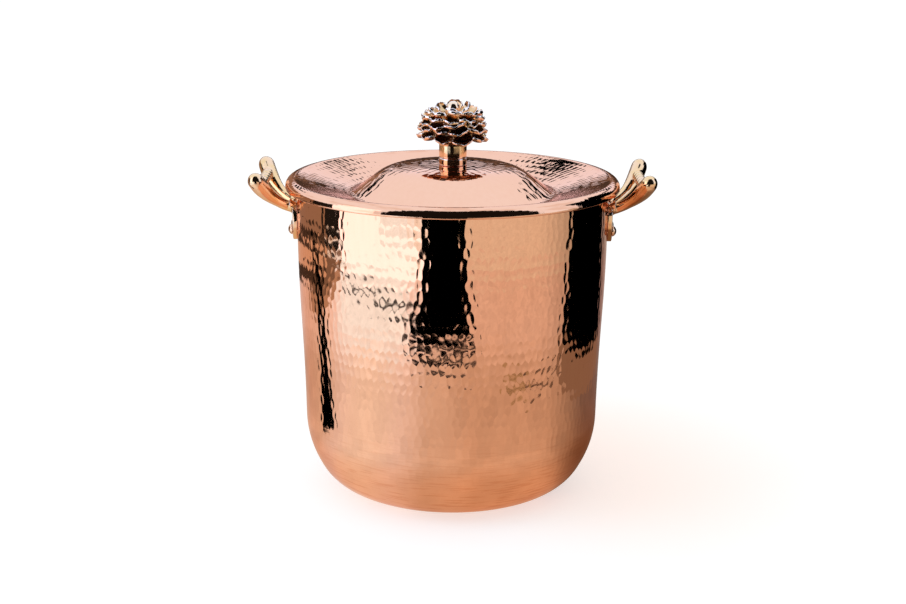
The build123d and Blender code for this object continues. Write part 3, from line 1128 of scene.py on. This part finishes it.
def panel(name, corners, brightness, colour=white):
    """Flat panels, four corners each, that the metal mirrors, with no shadow. Only softboxes give light."""
    mesh = bpy.data.meshes.new(name)
    faces = [tuple(range(first, first + 4)) for first in range(0, len(corners), 4)]
    mesh.from_pydata(corners, [], faces)
    piece = new_piece(name, mesh)
    material, wire = new_finish(name, 0.0)
    dress(wire, {
        "Base Color": black,
        "Roughness": 1.0,
        "Specular IOR Level": 0.0,
        "Emission Color": colour,
        "Emission Strength": brightness,
    })
    mesh.materials.append(material)
    piece.visible_camera = False
    piece.visible_shadow = False
    piece.visible_diffuse = colour == softbox_white


def polar(azimuth, distance, level=0.0):
    """Point at an azimuth from the camera's side of the pot, in degrees towards the right handle."""
    angle = math.radians(azimuth)
    return distance * math.sin(angle), -distance * math.cos(angle), level


def floor_panel(name, spots, brightness, colour=white):
    """Card on the floor, with a corner at each azimuth and distance."""
    panel(name, [polar(azimuth, distance, card_lift) for azimuth, distance in spots], brightness, colour)


def wall_panel(name, spots, levels, brightness, colour=white):
    """Upright panels from one azimuth and distance to the next, between two levels."""
    corners = []
    for start, end in zip(spots, spots[1:]):
        corners += [polar(*spot, levels[0]) for spot in (start, end)]
        corners += [polar(*spot, levels[1]) for spot in (end, start)]
    panel(name, corners, brightness, colour)


def strip(name, start, end, half_widths, brightness, colour=white):
    """Straight narrow card over the floor between two points, as wide as given at each."""
    start, end = Vector((*start, strip_lift)), Vector((*end, strip_lift))
    beside = (end - start).normalized().cross(Vector((0, 0, 1)))
    corners = [start - beside * half_widths[0], start + beside * half_widths[0]]
    corners += [end + beside * half_widths[1], end - beside * half_widths[1]]
    panel(name, corners, brightness, colour)


floor_mesh = bpy.data.meshes.new("floor")
floor_mesh.from_pydata([(-6, -6, 0), (6, -6, 0), (6, 6, 0), (-6, 6, 0)], [], [(0, 1, 2, 3)])
floor = new_piece("floor", floor_mesh)
floor_mesh.materials.append(floor_finish())

wall_panel("left_softbox", [(-82, 0.98), (-50, 0.95)], (0.0, 0.95), 1.0, softbox_white)
wall_panel("left_card", [(-50, 0.95), (-21, 0.90)], (0.0, 0.066), 1.0, softbox_white)
floor_panel("left_seam", [(-82, 0.85), (-82, 0.885), (-58, 0.82), (-58, 0.785)], 0.0)
floor_panel("middle_seam", [(-58, 0.785), (-58, 0.82), (-20, 0.72), (-20, 0.68)], 0.0)
floor_panel("front_near_floor", [(-30, 0.60), (14, 0.59), (11, 0.80), (-20.5, 0.80)], 0.0)
floor_panel("front_first_band", [(-32, 0.550), (15, 0.550), (15, 0.578), (-32, 0.578)], 0.0)
floor_panel("front_last_band", [(-26, 0.515), (16, 0.515), (16, 0.535), (-26, 0.535)], 0.04)
floor_panel("front_far_floor", [(-20.5, 0.80), (11, 0.80), (8, 1.90), (-20.5, 1.90)], 0.0)
front = [(azimuth, 1.90) for azimuth in (-46, -20, 8, 33, 58)]
wall_panel("front_dark_wall", front, (0.0, 8.00), 0.01)
floor_panel("right_dark_floor", [(80.5, 0.56), (91, 1.50), (139, 1.50), (139, 0.56)], 0.0)
# Painted shadow of the pot on the floor to its right: a dim brown card that the metal mirrors.
floor_panel("right_brown_floor", [(78, 0.43), (80.5, 0.56), (139, 0.56), (139, 0.43)], 0.26, brown)
wall_panel("right_dark_wall", [(89, 1.12), (112, 1.20), (139, 1.15)], (0.0, 1.10), 0.0)
floor_panel("left_edge_floor", [(-82, 0.93), (-104, 0.62), (-104, 0.72), (-82, 1.02)], 0.50, brown)
floor_panel("left_near_floor", [(-104, 0.62), (-124, 0.64), (-124, 0.74), (-104, 0.72)], 0.48, brown)
floor_panel("left_dark_floor", [(-82, 1.02), (-104, 0.72), (-124, 0.74), (-124, 1.50)], 0.22, brown)
floor_panel("left_brown_floor", [(-124, 0.82), (-160, 0.88), (-160, 1.50), (-124, 1.50)], 0.36, brown)
wall_panel("left_dark_wall", [(-82, 1.10), (-103, 1.16)], (0.0, 0.60), 0.015)
wall_panel("left_brown_wall", [(-103, 1.16), (-124, 1.20), (-165, 1.30)], (0.0, 0.60), 0.32, brown)
for near, far, brightness in ((0.80, 0.90, 0.06), (0.90, 1.06, 0.70), (1.06, 1.20, 0.06)):
    corners = []
    for start, end in ((-100, -120), (-120, -140), (-140, -160)):
        spots = ((start, near), (start, far), (end, far), (end, near))
        corners += [polar(*spot, ring_lift) for spot in spots]
    panel(f"left_ring_{round(100 * near)}", corners, brightness, brown)
strip("left_gap", (-0.285, 0.000), (-0.77, 0.265), (0.040, 0.052), 0.0)
strip("left_far_gap", (-0.77, 0.265), (-1.00, 0.52), (0.052, 0.060), 0.0)
strip("right_card", (0.27, -0.35), (0.47, -0.08), (0.008, 0.007), 0.10, brown)
strip("right_worn_card", (0.26, -0.37), (0.33, -0.27), (0.020, 0.014), 0.46, worn_brown)
rear = [(azimuth, 1.60) for azimuth in range(140, 221, 20)]
wall_panel("rear_low_wall", rear, (0.0, 0.54), 0.07, brown)
wall_panel("rear_middle_wall", rear, (0.54, 0.62), 0.30, brown)
wall_panel("rear_right_wall", [(140, 1.55), (158, 1.55), (174, 1.55)], (0.0, 0.42), 0.08, brown)
wall_panel("rear_left_card", [(176.9, 1.58), (179.1, 1.58)], (1.06, 1.20), 0.0)
wall_panel("rear_right_card", [(181.2, 1.58), (183.9, 1.58)], (1.04, 1.36), 0.0)
rear_frame_distance = 1.59
rear_frame = [
    (40, 1.04, 1.14),
    (34, 0.93, 1.04),
    (27, 0.78, 0.90),
    (11, 0.74, 0.86),
    (2, 0.54, 0.64),
    (0, 0.52, 0.62),
]
for side, turn in {"right": -1, "left": 1}.items():
    corners = []
    for (start, *start_levels), (end, *end_levels) in zip(rear_frame, rear_frame[1:]):
        for azimuth, levels in ((start, start_levels), (end, reversed(end_levels))):
            corners += [polar(180 + azimuth * turn, rear_frame_distance, level) for level in levels]
    panel(f"rear_{side}_frame", corners, 0.0)

aim = Vector((0.001, 0.0, 0.1695))
pitch = 0.256
reach = 1.5
roll = math.radians(0.4)
lens_length = 66.8
camera = bpy.data.objects.new("camera", bpy.data.cameras.new("camera"))
bpy.context.scene.collection.objects.link(camera)
camera.data.lens = lens_length
camera.location = aim + Vector((0, -math.cos(pitch), math.sin(pitch))) * reach
look = (aim - camera.location).to_track_quat("-Z", "Y").to_matrix()
camera.rotation_euler = (look @ Matrix.Rotation(roll, 3, "Z")).to_euler()
bpy.context.scene.camera = camera

world = bpy.data.worlds.new("white_studio")
bpy.context.scene.world = world
world.use_nodes = True
sky = Wire(world.node_tree)
sky_light = 0.62
background = world.node_tree.nodes["Background"]
straight, mirrored = views(sky)
sky.tree.links.new(mirrored.mixed(white, cool_white).socket, background.inputs["Color"])
sky_strength = straight.maths("MAXIMUM", mirrored) * (1 - sky_light) + sky_light
sky.tree.links.new(sky_strength.socket, background.inputs["Strength"])

bpy.context.scene.view_settings.view_transform = "Standard"
